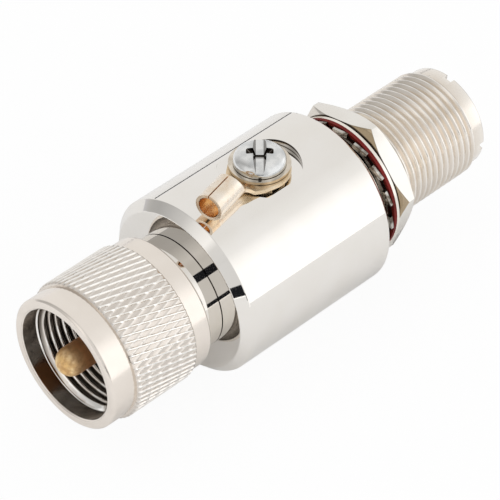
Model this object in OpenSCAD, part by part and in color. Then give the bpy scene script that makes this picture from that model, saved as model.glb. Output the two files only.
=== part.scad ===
// In-line lightning arrestor for coaxial cable: a turned housing with a threaded coupling ring in
// front, a threaded bulkhead barrel behind, a ground screw on top and a gas tube below it.
// The cable axis is X, the ground screw points up along +Z, and x = 0 is the face that seats on
// the panel. The coupling ring lies at negative x.

/* [Housing] */
// Outer diameter of the housing
body_d = 25.4; // [24.8:0.1:30]
// Length of the housing without its front hub
body_l = 26.8; // [25:0.1:34]
// Chamfer round the front edge
front_chamfer = 1.25; // [0.4:0.05:1.6]
// Chamfer round the rear edge
rear_chamfer = 0.65; // [0.2:0.05:1]
// Wall of the front hub round the male shell
hub_wall = 1.0; // [0.8:0.05:1.8]
// Length of the front hub
hub_l = 3.0; // [1.5:0.1:6]
// Diameter of the hollow round the inner conductor
chamber_d = 12.6; // [11.8:0.1:13]

/* [Coaxial threads] */
// Outer diameter of the thread on the barrel
thread_d = 15.875; // [15.6:0.025:16.2]
// Pitch of the coaxial threads
thread_pitch = 1.0583; // [0.9:0.0001:1.1]

/* [Coupling ring] */
// Length of the coupling ring
ring_l = 16.8; // [16:0.1:20]
// Wall of the ring outside its thread
ring_wall = 1.46; // [1.2:0.02:2]
// Height of the knurl above the front band
knurl_step = 0.55; // [0.3:0.05:1]
// Length of the knurl
knurl_l = 10.2; // [8:0.1:10.8]
// Length of the front band
front_band_l = 3.65; // [2.5:0.05:4.2]
// Depth of the smooth band behind the knurl below the knurl
rear_band_step = 0.45; // [0.3:0.05:0.7]
// Depth of the plain mouth in front of the thread
mouth_l = 2.35; // [1:0.05:3]
// How far the ring slides forward on its shell
ring_float = 1.6; // [0.8:0.1:1.8]

/* [Male shell and pin] */
// Gap between the male shell and the ring's thread
shell_gap = 0.165; // [0.1:0.005:0.3]
// Wall of the male shell
shell_wall = 1.6; // [1.2:0.05:1.8]
// Distance from the ring's rim back to the shell's face
shell_set_back = 9.05; // [8.6:0.05:9.4]
// Depth of the shell's socket in the housing, measured from the body's front face
shell_socket = 5.0; // [4:0.1:6]
// Diameter of the centre pin
pin_d = 4.0; // [3.6:0.05:4.4]
// How far the pin's tip stands out of the ring's rim
pin_proud = 0.75; // [0:0.05:2]
// Width of the shell's locating keys
key_w = 1.0; // [0.8:0.1:1.8]
// Height of the shell's locating keys
key_h = 1.0; // [0.6:0.1:1.4]

/* [Bulkhead barrel] */
// Length of the barrel's thread from the panel face
barrel_l = 21.5; // [18:0.1:26]
// Step from the thread down to the plain nose
nose_step = 0.54; // [0.3:0.02:0.8]
// Length of the nose
nose_l = 2.15; // [1.6:0.05:3]
// Wall of the barrel
barrel_wall = 1.84; // [1.4:0.02:2.4]
// Width of the four notches in the rim
notch_w = 1.3; // [1.2:0.1:2.4]
// Depth of the notches
notch_depth = 0.8; // [0.6:0.1:1.5]
// Turn of the notches about the axis
notch_turn = -6; // [-45:0.5:45]
// Wall of the female contact round the pin's bore
contact_wall = 0.7; // [0.5:0.05:1.2]
// Depth of the contact's bore
contact_depth = 13.7; // [11:0.1:15]
// Width of the slots between the contact's fingers
finger_slot_w = 0.6; // [0.3:0.1:1]
// Length of the contact's fingers
finger_l = 9; // [5:0.5:10.5]

/* [Lock nut and washers] */
// Wall of the lock nut at its flats
nut_wall = 1.5875; // [1.4:0.0125:3]
// Thickness of the lock nut
nut_t = 2.85; // [2:0.05:5]
// Distance from the panel face to the nut
nut_x = 4.2; // [3.6:0.05:8]
// Turn of the nut about the axis
nut_turn = 17.9; // [0:0.1:60]
// Play of the washers and the gasket round the thread
washer_play = 0.71; // [0.5:0.01:0.9]
// Width of the washers and the gasket from hole to rim
washer_width = 1.35; // [1.2:0.05:2.2]
// Thickness of the flat washer
flat_washer_t = 0.45; // [0.3:0.05:0.6]
// Thickness of the gasket
gasket_t = 0.5; // [0.4:0.05:0.9]
// Sheet thickness of the toothed washer
star_t = 0.4; // [0.3:0.05:0.5]
// Teeth of the toothed washer
star_teeth = 16; // [10:1:18]
// Width of one tooth
star_tooth_w = 2.3; // [1.6:0.1:2.5]
// Twist of each tooth
star_twist = 10; // [6:1:16]

/* [Ground screw and terminal] */
// Distance from the panel face to the ground screw
screw_set_back = 12.2; // [11.5:0.1:13.5]
// Diameter of the flat that is sunk for the terminal
spot_d = 11.2; // [11:0.1:12]
// Depth of the flat below the top of the housing
spot_depth = 0.9; // [0.7:0.05:1.2]
// Thread diameter of the ground screw
screw_d = 4.0; // [3:0.5:4]
// Pitch of the ground screw
screw_pitch = 0.7; // [0.5:0.05:0.8]
// Length of the ground screw below its head
screw_l = 6.0; // [5:0.1:6.1]
// Diameter of the screw's head
head_d = 7.0; // [6:0.1:7.6]
// Height of the screw's head
head_h = 2.0; // [1.6:0.1:2.8]
// Width of the slot across the head
head_slot_w = 1.2; // [0.8:0.1:1.4]
// Outer diameter of the washer under the head
screw_washer_d = 8.2; // [7.6:0.1:8.2]
// Thickness of that washer
screw_washer_t = 0.45; // [0.3:0.05:0.8]
// Outer diameter of the terminal's ring
lug_ring_d = 8.3; // [7.8:0.1:8.6]
// Play of the terminal's hole round the screw
lug_hole_play = 0.75; // [0.7:0.05:0.9]
// Sheet thickness of the terminal
lug_t = 0.45; // [0.35:0.05:0.6]
// Outer diameter of the terminal's wire barrel
lug_barrel_d = 3.86; // [3.4:0.02:4.2]
// Length of the wire barrel along its seam
lug_barrel_l = 5.0; // [4:0.1:6]
// Distance from the ring's centre to the mouth of the wire barrel
lug_reach = 12.0; // [11.5:0.1:14]
// Angle from the housing's axis to the terminal
lug_angle = 13.3; // [0:0.1:20]

/* [Gas tube] */
// Diameter of the gas tube
tube_d = 8.0; // [7:0.1:8.2]
// Length of the gas tube
tube_l = 6.0; // [5:0.1:6.2]
// Thickness of each electrode
electrode_t = 0.8; // [0.5:0.1:1.2]
// Step from the gas tube out to the cap's thread
cap_step = 1.0; // [0.8:0.1:1.4]
// Pitch of the cap's thread
cap_pitch = 0.75; // [0.5:0.05:1]
// Depth of the cap's face below the housing's lowest line
cap_recess = 1.2; // [1:0.05:1.3]
// Height of the contact spring
spring_h = 0.8; // [0.6:0.05:1]
// Section of the cap's seal
seal_d = 0.66; // [0.5:0.02:0.8]

/* [Hidden] */
$fn = 96;
// running clearance, clearance of a pressed seat, and what a cut runs past a face
running = 0.05;
pressed = 0.01;
past = 1;

body_r = body_d/2;
body_front = -body_l;
hub_front = body_front - hub_l;
thread_r = thread_d/2;
minor_r = thread_r - 0.5413*thread_pitch;
shell_r = minor_r - shell_gap;
shell_d = 2*shell_r;
shell_bore_d = shell_d - 2*shell_wall;
hub_d = shell_d + 2*hub_wall;

// coupling ring, from its rim to its rear face
ring_rear = hub_front - running;
ring_front = ring_rear - ring_l;
knurl_front = ring_front + front_band_l;
knurl_rear = knurl_front + knurl_l;
thread_front = ring_front + mouth_l;
ring_edge = 0.3;
front_band_d = thread_d + 2*ring_wall;
knurl_d = front_band_d + 2*knurl_step;
rear_band_d = knurl_d - 2*rear_band_step;
thread_relief = 0.06;
mouth_r = thread_r + thread_relief;

// male shell, with the groove that the ring's clip slides in
shell_face = ring_front + shell_set_back;
shell_seat = body_front + shell_socket;
lip_r = shell_r + running + 0.01;
lip_l = 4.75;
relief_l = 1.6;
lip_front = ring_rear - lip_l;
thread_rear = lip_front - relief_l;
clip_t = 0.8;
clip_w = 1.1;
clip_set = 2.5;
clip_sink = 0.45;
clip_play = 0.15;
clip_rear = ring_rear - clip_set;
clip_front = clip_rear - clip_t;
clip_in_r = shell_r - clip_sink;
clip_out_r = clip_in_r + clip_w;
groove_r = clip_in_r - clip_play;
clip_gap_angle = 30;

// pin, inner conductor and female contact on the axis
pin_r = pin_d/2;
pin_tip = ring_front - pin_proud;
face_step = 0.4;
male_face = shell_face + face_step;
shank_r = 1.5;
shank_grip = 3;
conductor_r = 2.4;
nose_d = thread_d - 2*nose_step;
nose_end = barrel_l + nose_l;
barrel_bore_r = thread_r - barrel_wall;
flange_step = 0.86;
flange_r = thread_r + flange_step;
flange_l = 5;
insulator_step = 1;
rim_recess = 1.5;
contact_floor = 2;
female_back = -flange_l + insulator_step;
female_face = nose_end - rim_recess;
contact_r = pin_r + contact_wall;
contact_d = 2*contact_r;
contact_face = female_face - face_step;
contact_back = contact_face - contact_depth - contact_floor;

// lock nut and the loose stack in front of it, which hangs on the barrel
nut_af = thread_d + 2*nut_wall;
nut_corner_r = nut_af/2/cos(30);
nut_face_r = nut_af/2 - 0.125;
nut_chamfer_h = (nut_corner_r - nut_face_r)*tan(30);
washer_hole_d = thread_d + 2*washer_play;
washer_d = washer_hole_d + 2*washer_width;
washer_gap = 0.3;
washer_drop = washer_play - washer_gap;
star_rim = 0.65;
star_tip = 0.08;
flat_washer_x = nut_x - running - flat_washer_t;
gasket_x = flat_washer_x - gasket_t;
star_h = star_tooth_w*sin(star_twist) + star_t*cos(star_twist);
star_x = gasket_x - star_h;

// ground screw: the flat, then toothed washer, terminal, plain washer and head
screw_x = -screw_set_back;
screw_r = screw_d/2;
spot_floor = body_r - spot_depth;
ground_star_t = 0.25;
ground_star_d = 8.0;
ground_star_rim = 0.9;
ground_star_w = 1.3;
ground_star_twist = 7;
ground_star_h = ground_star_w*sin(ground_star_twist) + ground_star_t*cos(ground_star_twist);
lug_z = spot_floor + ground_star_h;
screw_washer_z = lug_z + lug_t;
head_z = screw_washer_z + screw_washer_t;
head_rim = 0.3;
ground_hole_end = head_z - screw_l - 0.2;

// ring terminal in its own frame: ring centre at the origin, wire mouth along +X
lug_play = [-0.45, -0.42];
lug_clear = 0.12;
lug_rise = body_r + lug_clear - lug_z;
lug_barrel_r = lug_barrel_d/2;
lug_bore_r = lug_barrel_r - lug_t;
lug_flat = 3.6;
lug_ramp = 0.8;
lug_seam = 0.12;
lug_hole_d = screw_d + 2*lug_hole_play;
lug_neck_start = 2;
lug_trough = 0.9;
lug_slant = 28;

// gas tube on the side away from the screw, from the conductor down to the cap
tube_x = screw_x;
tube_r = tube_d/2;
tube_top = -2;
tube_bottom = tube_top - tube_l;
tube_wall = 1;
cap_d = tube_d + 2*cap_step;
cap_r = cap_d/2 - running;
cap_top = tube_bottom - spring_h;
cap_bottom = -body_r + cap_recess;
cap_shoulder = cap_top + 0.2;
cap_slot_w = 1.2;
cap_slot_depth = 0.9;
seal_z = (cap_top + cap_bottom)/2 + 0.25;
seal_r = seal_d/2;
seal_ring_r = cap_d/2 - seal_r - 0.02;

nickel = [0.86, 0.85, 0.82];
bright_nickel = [0.93, 0.92, 0.9];
brass = [0.78, 0.6, 0.3];
tin = [0.88, 0.8, 0.7];
brown_plastic = [0.26, 0.15, 0.09];

// turns what is built along Z so that it lies along X
module along_x() {
    rotate([0, 90, 0]) children();
}

// solid of revolution about X from points [radius, x]
module turned(points) {
    along_x() rotate_extrude() polygon(points);
}

// round bar along X
module rod(x0, x1, r) {
    along_x() translate([0, 0, x0]) cylinder(h = x1 - x0, r = r);
}

// ring with teeth round it, each twisted about its own radius, standing on z = 0
module toothed_washer(r_in, r_body, r_out, t, teeth, tooth_w, twist) {
    h = tooth_w*sin(twist) + t*cos(twist);
    tooth_root = r_body - 0.25;
    difference() {
        union() {
            translate([0, 0, (h - t)/2]) cylinder(h = t, r = r_body);
            for (i = [0:teeth - 1])
                rotate(i*360/teeth)
                    translate([(tooth_root + r_out)/2, 0, h/2])
                        rotate([twist, 0, 0])
                            cube([r_out - tooth_root, tooth_w, t], center = true);
        }
        translate([0, 0, -past]) cylinder(h = h + 2*past, r = r_in);
    }
}

// the flat for the terminal and the blind hole for the ground screw
module ground_seat() {
    translate([screw_x, 0, spot_floor]) cylinder(h = body_r, d = spot_d);
    translate([screw_x, 0, ground_hole_end]) cylinder(h = body_r, r = screw_r);
}

// the pocket that the gas tube drops into, and the threaded hole of its cap
module tube_pocket() {
    translate([tube_x, 0, -body_r - past]) {
        cylinder(h = body_r + past + tube_top, r = tube_r + 0.15);
        cylinder(h = body_r + past + cap_shoulder, r = cap_d/2);
    }
}

module housing() {
    color(bright_nickel) difference() {
        turned([[0, hub_front], [hub_d/2 - 0.2, hub_front], [hub_d/2, hub_front + 0.2],
            [hub_d/2, body_front], [body_r - front_chamfer, body_front],
            [body_r, body_front + front_chamfer], [body_r, -rear_chamfer],
            [body_r - rear_chamfer, 0], [0, 0]]);
        rod(hub_front - past, shell_seat, shell_r + pressed);
        rod(shell_seat - past, -flange_l + past, chamber_d/2);
        rod(-flange_l, past, flange_r + pressed);
        ground_seat();
        tube_pocket();
    }
}

module male_shell() {
    color(nickel) {
        difference() {
            turned([[shell_bore_d/2, shell_face], [shell_r - 0.2, shell_face],
                [shell_r, shell_face + 0.2], [shell_r, clip_front - running - ring_float],
                [groove_r, clip_front - running - ring_float], [groove_r, clip_rear + running],
                [shell_r, clip_rear + running], [shell_r, shell_seat],
                [shell_bore_d/2, shell_seat]]);
        }
        intersection() {
            difference() {
                rod(shell_face - key_h, shell_face + 0.1, shell_r - 0.3);
                rod(shell_face - key_h - past, shell_face + past, shell_bore_d/2);
            }
            for (a = [0, 90])
                rotate([a + notch_turn, 0, 0])
                    translate([shell_face, 0, 0]) cube([4*key_h, key_w, shell_d], center = true);
        }
    }
}

module male_insulator() {
    color(brown_plastic) turned([[shank_r + pressed, male_face], [shell_bore_d/2 - pressed, male_face],
        [shell_bore_d/2 - pressed, shell_seat], [shank_r + pressed, shell_seat]]);
}

module male_pin() {
    color(brass) {
        along_x() translate([0, 0, pin_tip + pin_r]) sphere(r = pin_r);
        rod(pin_tip + pin_r, male_face, pin_r);
        rod(male_face, shell_seat + shank_grip, shank_r);
    }
}

module inner_conductor() {
    color(brass) difference() {
        rod(shell_seat, female_back, conductor_r);
        rod(shell_seat - past, shell_seat + shank_grip + 0.2, shank_r + pressed);
        rod(female_back - shank_grip - 0.2, female_back + past, shank_r + pressed);
        translate([tube_x, 0, tube_top - past]) cylinder(h = past, r = tube_r + 0.3);
    }
}

// rings in place of the thread's turns, from the run-out at the flange to the entry at the nose
module bulkhead_barrel() {
    edge = 0.35;
    groove = 0.5413*thread_pitch;
    half = groove*0.7;
    turns = floor((barrel_l - 2*thread_pitch)/thread_pitch);
    first = barrel_l - edge - half - (turns - 0.5)*thread_pitch;
    color(nickel) difference() {
        turned(concat(
            [[barrel_bore_r, -flange_l], [flange_r, -flange_l], [flange_r, 0], [thread_r, 0]],
            [for (i = [0 : turns - 1], p = [[-half, 0], [0, groove], [half, 0]])
                [thread_r - p[1], first + i*thread_pitch + p[0]]],
            [[thread_r, barrel_l - edge], [thread_r - edge, barrel_l], [nose_d/2, barrel_l],
            [nose_d/2, nose_end - edge/2], [nose_d/2 - edge/2, nose_end],
            [barrel_bore_r, nose_end]]));
        for (a = [0, 90])
            rotate([a - notch_turn, 0, 0]) translate([nose_end, 0, 0])
                cube([2*notch_depth, notch_w, 2*thread_d], center = true);
    }
}

module female_insulator() {
    color(brown_plastic) difference() {
        rod(female_back, female_face, barrel_bore_r - pressed);
        rod(female_back - past, contact_back + past, shank_r + pressed);
        rod(contact_back, female_face + past, contact_r + pressed);
    }
}

module female_contact() {
    lead_in = 0.3;
    color(brass) difference() {
        union() {
            turned([[0, contact_back], [contact_r, contact_back], [contact_r, contact_face - 0.2],
                [contact_r - 0.2, contact_face], [0, contact_face]]);
            rod(female_back - shank_grip, contact_back + 0.1, shank_r);
        }
        rod(contact_face - contact_depth, contact_face + past, pin_r);
        turned([[0, contact_face - lead_in], [pin_r, contact_face - lead_in],
            [pin_r + lead_in, contact_face], [pin_r + lead_in, contact_face + past],
            [0, contact_face + past]]);
        for (a = [45, 135])
            rotate([a, 0, 0]) translate([contact_face, 0, 0])
                cube([2*finger_l, finger_slot_w, 2*contact_d], center = true);
    }
}

module coupling_ring() {
    band = front_band_d/2;
    rear = rear_band_d/2;
    relief = thread_r + thread_relief;
    color(nickel) turned([
        [mouth_r + 0.15, ring_front], [band - ring_edge, ring_front], [band, ring_front + ring_edge],
        [band, knurl_front], [knurl_d/2 - 0.2, knurl_front], [knurl_d/2, knurl_front + 0.2],
        [knurl_d/2, knurl_rear - 0.2], [knurl_d/2 - 0.2, knurl_rear], [rear, knurl_rear],
        [rear, ring_rear - ring_edge], [rear - ring_edge, ring_rear], [lip_r, ring_rear],
        [lip_r, clip_rear + running], [clip_out_r + running, clip_rear + running],
        [clip_out_r + running, clip_front - running], [lip_r, clip_front - running],
        [lip_r, lip_front], [relief, lip_front], [relief, thread_rear], [minor_r, thread_rear],
        [minor_r, thread_front + mouth_r - minor_r], [mouth_r, thread_front],
        [mouth_r, ring_front + 0.15]]);
}

module ring_clip() {
    color(brass) along_x() rotate(90 + clip_gap_angle/2) rotate_extrude(angle = 360 - clip_gap_angle)
        translate([clip_in_r, clip_front]) square([clip_w, clip_t]);
}

module lock_nut() {
    bore_r = thread_r + running + 0.01;
    lead_in = 0.4;
    nut_back = nut_x + nut_t;
    color(nickel) difference() {
        intersection() {
            along_x() translate([0, 0, nut_x]) rotate(nut_turn)
                cylinder(h = nut_t, r = nut_corner_r, $fn = 6);
            turned([[0, nut_x], [nut_face_r, nut_x], [nut_corner_r, nut_x + nut_chamfer_h],
                [nut_corner_r + 1, nut_x + nut_chamfer_h + 0.01],
                [nut_corner_r + 1, nut_back - nut_chamfer_h - 0.01],
                [nut_corner_r, nut_back - nut_chamfer_h], [nut_face_r, nut_back], [0, nut_back]]);
        }
        turned([[0, nut_x - past], [bore_r + lead_in + past, nut_x - past],
            [bore_r, nut_x + lead_in], [bore_r, nut_back - lead_in],
            [bore_r + lead_in + past, nut_back + past], [0, nut_back + past]]);
    }
}

// plain ring of the loose stack on the barrel
module hanging_ring(x, t) {
    translate([0, 0, -washer_drop]) difference() {
        rod(x, x + t, washer_d/2);
        rod(x - past, x + t + past, washer_hole_d/2);
    }
}

module flat_washer() {
    color(bright_nickel) hanging_ring(flat_washer_x, flat_washer_t);
}

module gasket() {
    color([0.55, 0.09, 0.08]) hanging_ring(gasket_x, gasket_t);
}

module star_washer() {
    color(nickel) translate([star_x, 0, -washer_drop]) along_x()
        toothed_washer(washer_hole_d/2, washer_d/2 - star_rim, washer_d/2 - star_tip, star_t,
            star_teeth, star_tooth_w, star_twist);
}

// half of the domed head's outline, as points [radius, height]
function dome(r, h, rim) = [for (a = [0:7.5:90]) [r*cos(a), rim + (h - rim)*sin(a)]];

// recess for a cross point, as wide at the top as span and narrowing with depth
module cross_arm(span, w, depth) {
    translate([0, w/2, 0]) rotate([90, 0, 0]) linear_extrude(w)
        polygon([[-span/2, past], [-span/2, 0], [-span/5, -depth], [span/5, -depth],
            [span/2, 0], [span/2, past]]);
}

module ground_screw() {
    slot_depth = 0.55*head_h;
    shank_r = screw_r - running;
    color(bright_nickel) translate([screw_x, 0, head_z]) difference() {
        union() {
            rotate_extrude() polygon(concat([[0, 0]], dome(head_d/2, head_h, head_rim)));
            rotate_extrude() polygon([[0, 0.1], [shank_r, 0.1], [shank_r, 0.4 - screw_l],
                [shank_r - 0.4, -screw_l], [0, -screw_l]]);
        }
        rotate(45.7) translate([-head_d, -head_slot_w/2, head_h - slot_depth])
            cube([2*head_d, head_slot_w, head_h]);
        translate([0, 0, head_h - 0.1]) rotate(-44.3) cross_arm(0.56*head_d, 0.9, 0.65*head_h);
    }
}

module screw_washer() {
    color(nickel) translate([screw_x, 0, screw_washer_z]) difference() {
        cylinder(h = screw_washer_t, d = screw_washer_d);
        translate([0, 0, -past]) cylinder(h = screw_washer_t + 2*past, r = screw_r + 0.1);
    }
}

// the tongue's outline, drawn in to the width of the wire barrel
module tongue_outline() {
    neck_w = lug_barrel_d + 0.3;
    neck_start = lug_flat + lug_neck_start;
    hull() {
        circle(d = lug_ring_d);
        translate([neck_start - 0.1, -neck_w/2]) square([0.1, neck_w]);
    }
    translate([neck_start - 0.1, -neck_w/2]) square([lug_reach - lug_barrel_l - neck_start + 0.1, neck_w]);
}

module ring_terminal() {
    neck_end = lug_reach - lug_barrel_l;
    ramp_end = lug_flat + lug_ramp;
    color(tin) translate([screw_x + lug_play[0], lug_play[1], lug_z]) rotate(180 + lug_angle) {
        difference() {
            linear_extrude(lug_t) intersection() {
                tongue_outline();
                translate([-lug_ring_d, -lug_ring_d]) square([lug_ring_d + lug_flat, 2*lug_ring_d]);
            }
            translate([0, 0, -past]) cylinder(h = lug_t + 2*past, d = lug_hole_d);
        }
        // bend that lifts the neck out of the sunk flat
        intersection() {
            translate([0, lug_ring_d, 0]) rotate([90, 0, 0]) linear_extrude(2*lug_ring_d)
                polygon([[lug_flat, 0], [ramp_end, lug_rise], [neck_end, lug_rise],
                    [neck_end, lug_rise + lug_t], [ramp_end - 0.1, lug_rise + lug_t],
                    [lug_flat, lug_t]]);
            linear_extrude(lug_rise + 2*lug_t) tongue_outline();
        }
        // rolled wire barrel with its open seam on top and its inner end cut on a slant
        translate([0, 0, lug_rise + lug_barrel_r]) difference() {
            translate([ramp_end + lug_trough, 0, 0]) along_x()
                cylinder(h = lug_reach - ramp_end - lug_trough, r = lug_barrel_r);
            translate([0, 0, 0]) along_x() cylinder(h = lug_reach + past, r = lug_bore_r);
            translate([0, -lug_seam/2, 0]) cube([lug_reach + past, lug_seam, lug_barrel_d]);
            translate([neck_end, 0, lug_barrel_r]) rotate([0, lug_slant, 0])
                translate([-2*lug_barrel_d, -lug_barrel_d, -2*lug_barrel_d + lug_t])
                    cube([2*lug_barrel_d, 2*lug_barrel_d, 3*lug_barrel_d]);
        }
    }
}

module ground_star_washer() {
    color(nickel) translate([screw_x, 0, spot_floor])
        toothed_washer(screw_r + 0.15, ground_star_d/2 - ground_star_rim, ground_star_d/2,
            ground_star_t, 12, ground_star_w, ground_star_twist);
}

module gas_tube() {
    color("white") translate([tube_x, 0, tube_bottom + electrode_t]) difference() {
        cylinder(h = tube_l - 2*electrode_t, r = tube_r);
        translate([0, 0, -past]) cylinder(h = tube_l + past, r = tube_r - tube_wall);
    }
}

module tube_electrodes() {
    color(nickel) for (z = [tube_bottom, tube_top - electrode_t])
        translate([tube_x, 0, z]) cylinder(h = electrode_t, r = tube_r - 0.1);
}

module contact_spring() {
    t = 0.25;
    color(brass) translate([tube_x, 0, tube_bottom]) rotate_extrude()
        polygon([[1.2, 0], [1.2, -t], [tube_r - 0.6, -spring_h], [tube_r - 0.3, -spring_h],
            [tube_r - 0.3, -spring_h + t]]);
}

module tube_cap() {
    groove_r = seal_ring_r - seal_r - 0.01;
    groove_h = seal_d + 0.2;
    color(nickel) translate([tube_x, 0, 0]) difference() {
        rotate_extrude() polygon([[0, cap_top], [cap_r, cap_top], [cap_r, seal_z + groove_h/2],
            [groove_r, seal_z + groove_h/2], [groove_r, seal_z - groove_h/2],
            [cap_r, seal_z - groove_h/2], [cap_r, cap_bottom + 0.2], [cap_r - 0.2, cap_bottom],
            [0, cap_bottom]]);
        translate([-cap_d, -cap_slot_w/2, cap_bottom - past])
            cube([2*cap_d, cap_slot_w, cap_slot_depth + past]);
    }
}

module cap_seal() {
    color([0.12, 0.12, 0.12]) translate([tube_x, 0, seal_z]) rotate_extrude()
        translate([seal_ring_r, 0]) circle(r = seal_r, $fn = 32);
}

housing();
male_shell();
male_insulator();
male_pin();
inner_conductor();
bulkhead_barrel();
female_insulator();
female_contact();
coupling_ring();
ring_clip();
lock_nut();
flat_washer();
gasket();
star_washer();
ground_screw();
screw_washer();
ring_terminal();
ground_star_washer();
gas_tube();
tube_electrodes();
contact_spring();
tube_cap();
cap_seal();
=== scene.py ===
# Lightning arrestor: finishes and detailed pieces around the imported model, with studio and camera.
import math

import bmesh
import bpy
from mathutils import Matrix, Vector


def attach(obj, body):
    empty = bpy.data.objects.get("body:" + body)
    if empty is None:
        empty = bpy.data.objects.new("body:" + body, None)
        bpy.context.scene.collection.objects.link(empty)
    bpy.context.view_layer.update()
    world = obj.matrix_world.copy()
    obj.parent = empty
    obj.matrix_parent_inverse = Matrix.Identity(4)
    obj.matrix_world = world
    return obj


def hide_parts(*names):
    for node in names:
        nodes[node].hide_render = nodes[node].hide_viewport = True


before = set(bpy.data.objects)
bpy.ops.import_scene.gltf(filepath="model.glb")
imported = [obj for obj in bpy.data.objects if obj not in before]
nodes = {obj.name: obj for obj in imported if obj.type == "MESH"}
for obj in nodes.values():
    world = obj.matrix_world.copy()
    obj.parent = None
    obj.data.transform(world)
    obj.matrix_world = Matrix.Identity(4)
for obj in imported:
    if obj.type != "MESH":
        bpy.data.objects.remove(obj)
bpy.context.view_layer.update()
mm = 0.001
print("frame loaded, nodes:", len(nodes))


# shader helpers
class Wire:
    # wraps one socket, so that sums of values can be written as plain expressions
    def __init__(self, tree, socket):
        self.tree = tree
        self.socket = socket

    def step(self, operation, *values):
        node = self.tree.nodes.new("ShaderNodeMath")
        node.operation = operation
        for place, value in zip(node.inputs, values):
            feed(self.tree, place, value)
        return Wire(self.tree, node.outputs[0])

    def __add__(self, other):
        return self.step("ADD", self, other)

    def __sub__(self, other):
        return self.step("SUBTRACT", self, other)

    def __rsub__(self, other):
        return self.step("SUBTRACT", other, self)

    def __mul__(self, other):
        return self.step("MULTIPLY", self, other)

    def __truediv__(self, other):
        return self.step("DIVIDE", self, other)

    def root(self):
        return self.step("SQRT", self)

    def size(self):
        return self.step("ABSOLUTE", self)

    def clamped(self):
        high = self.step("MINIMUM", self, 1)
        return high.step("MAXIMUM", high, 0)

    def over(self, limit, soft=0.05):
        # 0 up to the limit and 1 from soft past it, both in mm
        return ((self - limit*mm)*(1/(soft*mm))).clamped()

    def under(self, limit, soft=0.05):
        return ((limit*mm - self)*(1/(soft*mm))).clamped()

    __radd__ = __add__


def feed(tree, place, value):
    if isinstance(value, Wire):
        tree.links.new(value.socket, place)
    else:
        place.default_value = value


class NodeTree:
    # the nodes of one material or of the world
    def __init__(self, tree):
        self.tree = tree

    def node(self, kind, settings=None, inputs=None, output=0):
        made = self.tree.nodes.new("ShaderNode" + kind)
        for key, value in (settings or {}).items():
            if key == "stops":
                fillRamp(made, value)
            else:
                setattr(made, key, value)
        for key, value in (inputs or {}).items():
            feed(self.tree, made.inputs[key], value)
        return Wire(self.tree, made.outputs[output])

    def outputs(self, wire, *places):
        # several outputs of the node that the wire comes from
        return [Wire(self.tree, wire.socket.node.outputs[place]) for place in places]

    def split(self, vector):
        return self.outputs(self.node("SeparateXYZ", {}, {"Vector": vector}), 0, 1, 2)

    def rays(self):
        return self.outputs(self.node("LightPath"), "Is Camera Ray", "Is Glossy Ray", "Is Transmission Ray")

    def ramp(self, value, *stops):
        return self.node("ValToRGB", {"stops": stops}, {"Fac": value})


class Finish(NodeTree):
    # one material: its nodes come from node(), its shader's sockets from shade()
    def __init__(self, name, **constants):
        self.material = bpy.data.materials.new(name)
        self.material.use_nodes = True
        super().__init__(self.material.node_tree)
        self.shader = self.tree.nodes["Principled BSDF"]
        for key, value in constants.items():
            self.shader.inputs[key.replace("_", " ")].default_value = value

    def shade(self, **links):
        for key, value in links.items():
            feed(self.tree, self.shader.inputs[key.replace("_", " ")], value)
        return self

    def surface(self, wire):
        # puts another shader in place of the plain one
        self.tree.links.new(wire.socket, self.tree.nodes["Material Output"].inputs["Surface"])
        return self.material

    def place(self):
        return self.node("TexCoord", output=3)

    def mark(self, name):
        # the number that a piece's mesh gives at each point or face
        return self.node("Attribute", {"attribute_name": name}, output=2)

    def noise(self, scale, detail=3, rough=0.5):
        return self.node("TexNoise", {}, {"Vector": self.place(), "Scale": scale, "Detail": detail,
            "Roughness": rough})

    def blend(self, factor, a, b):
        made = self.tree.nodes.new("ShaderNodeMix")
        made.data_type = "RGBA"
        for place, value in ((made.inputs[0], factor), (made.inputs[6], a), (made.inputs[7], b)):
            feed(self.tree, place, value)
        return Wire(self.tree, made.outputs[2])

    def mottled(self, cloud, a, b, half=0.12):
        # from colour a where the cloud is thin to b where it is thick
        share = self.ramp(cloud, (0.5 - half, 0.0), (0.5 + half, 1.0))
        return self.blend(share, (*a, 1), (*b, 1))

    def bump(self, height, strength, distance):
        return self.node("Bump", {}, {"Height": height, "Strength": strength, "Distance": distance})

    def stackFront(self, front, rim):
        # painted shade: 1 ahead of front along X and within the radius rim of the loose stack's axis, in
        # mm, where the parts in front shade it
        along, y, up = self.split(self.place())
        up = up - paintedShadePlaces["drop"]*mm
        return along.under(front)*(y*y + up*up).root().under(rim, 0.125)

    def wallTop(self):
        # painted shade: 1 on the upper part of the wall round the sunk flat
        along, y, up = self.split(self.place())
        out = (y*y + up*up).root()
        band = out.over(paintedShadePlaces["wallLow"])*out.under(paintedShadePlaces["wallHigh"], 0.01)
        near = (along - paintedShadePlaces["screwX"]*mm).size().under(paintedShadePlaces["reach"])
        return band*near*up.over(paintedShadePlaces["flat"], 0.01)


def fillRamp(node, stops):
    ramp = node.color_ramp
    while len(ramp.elements) > 1:
        ramp.elements.remove(ramp.elements[-1])
    for i, (place, colour) in enumerate(stops):
        element = ramp.elements[0] if i == 0 else ramp.elements.new(place)
        element.position = place
        if isinstance(colour, (int, float)):
            colour = (colour, colour, colour)
        element.color = (*colour, 1)


# finishes
# painted shade, laid into recesses, gaps and along contact lines
paintedShadeTone = (0.055, 0.04, 0.028, 1)
# a near-white for worn crests, also a painted highlight where they catch the light
burnishedHighlight = (0.98, 0.96, 0.925, 1)
# a yellowed tan; on the nut's front a painted reflection of the brass-coloured parts, on the hub painted
# shade and reflection
yellowedAndReflected = (0.45, 0.36, 0.245, 1)
# painted shade on the red rubber
shadedRed = (0.022, 0.010, 0.007, 1)

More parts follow.
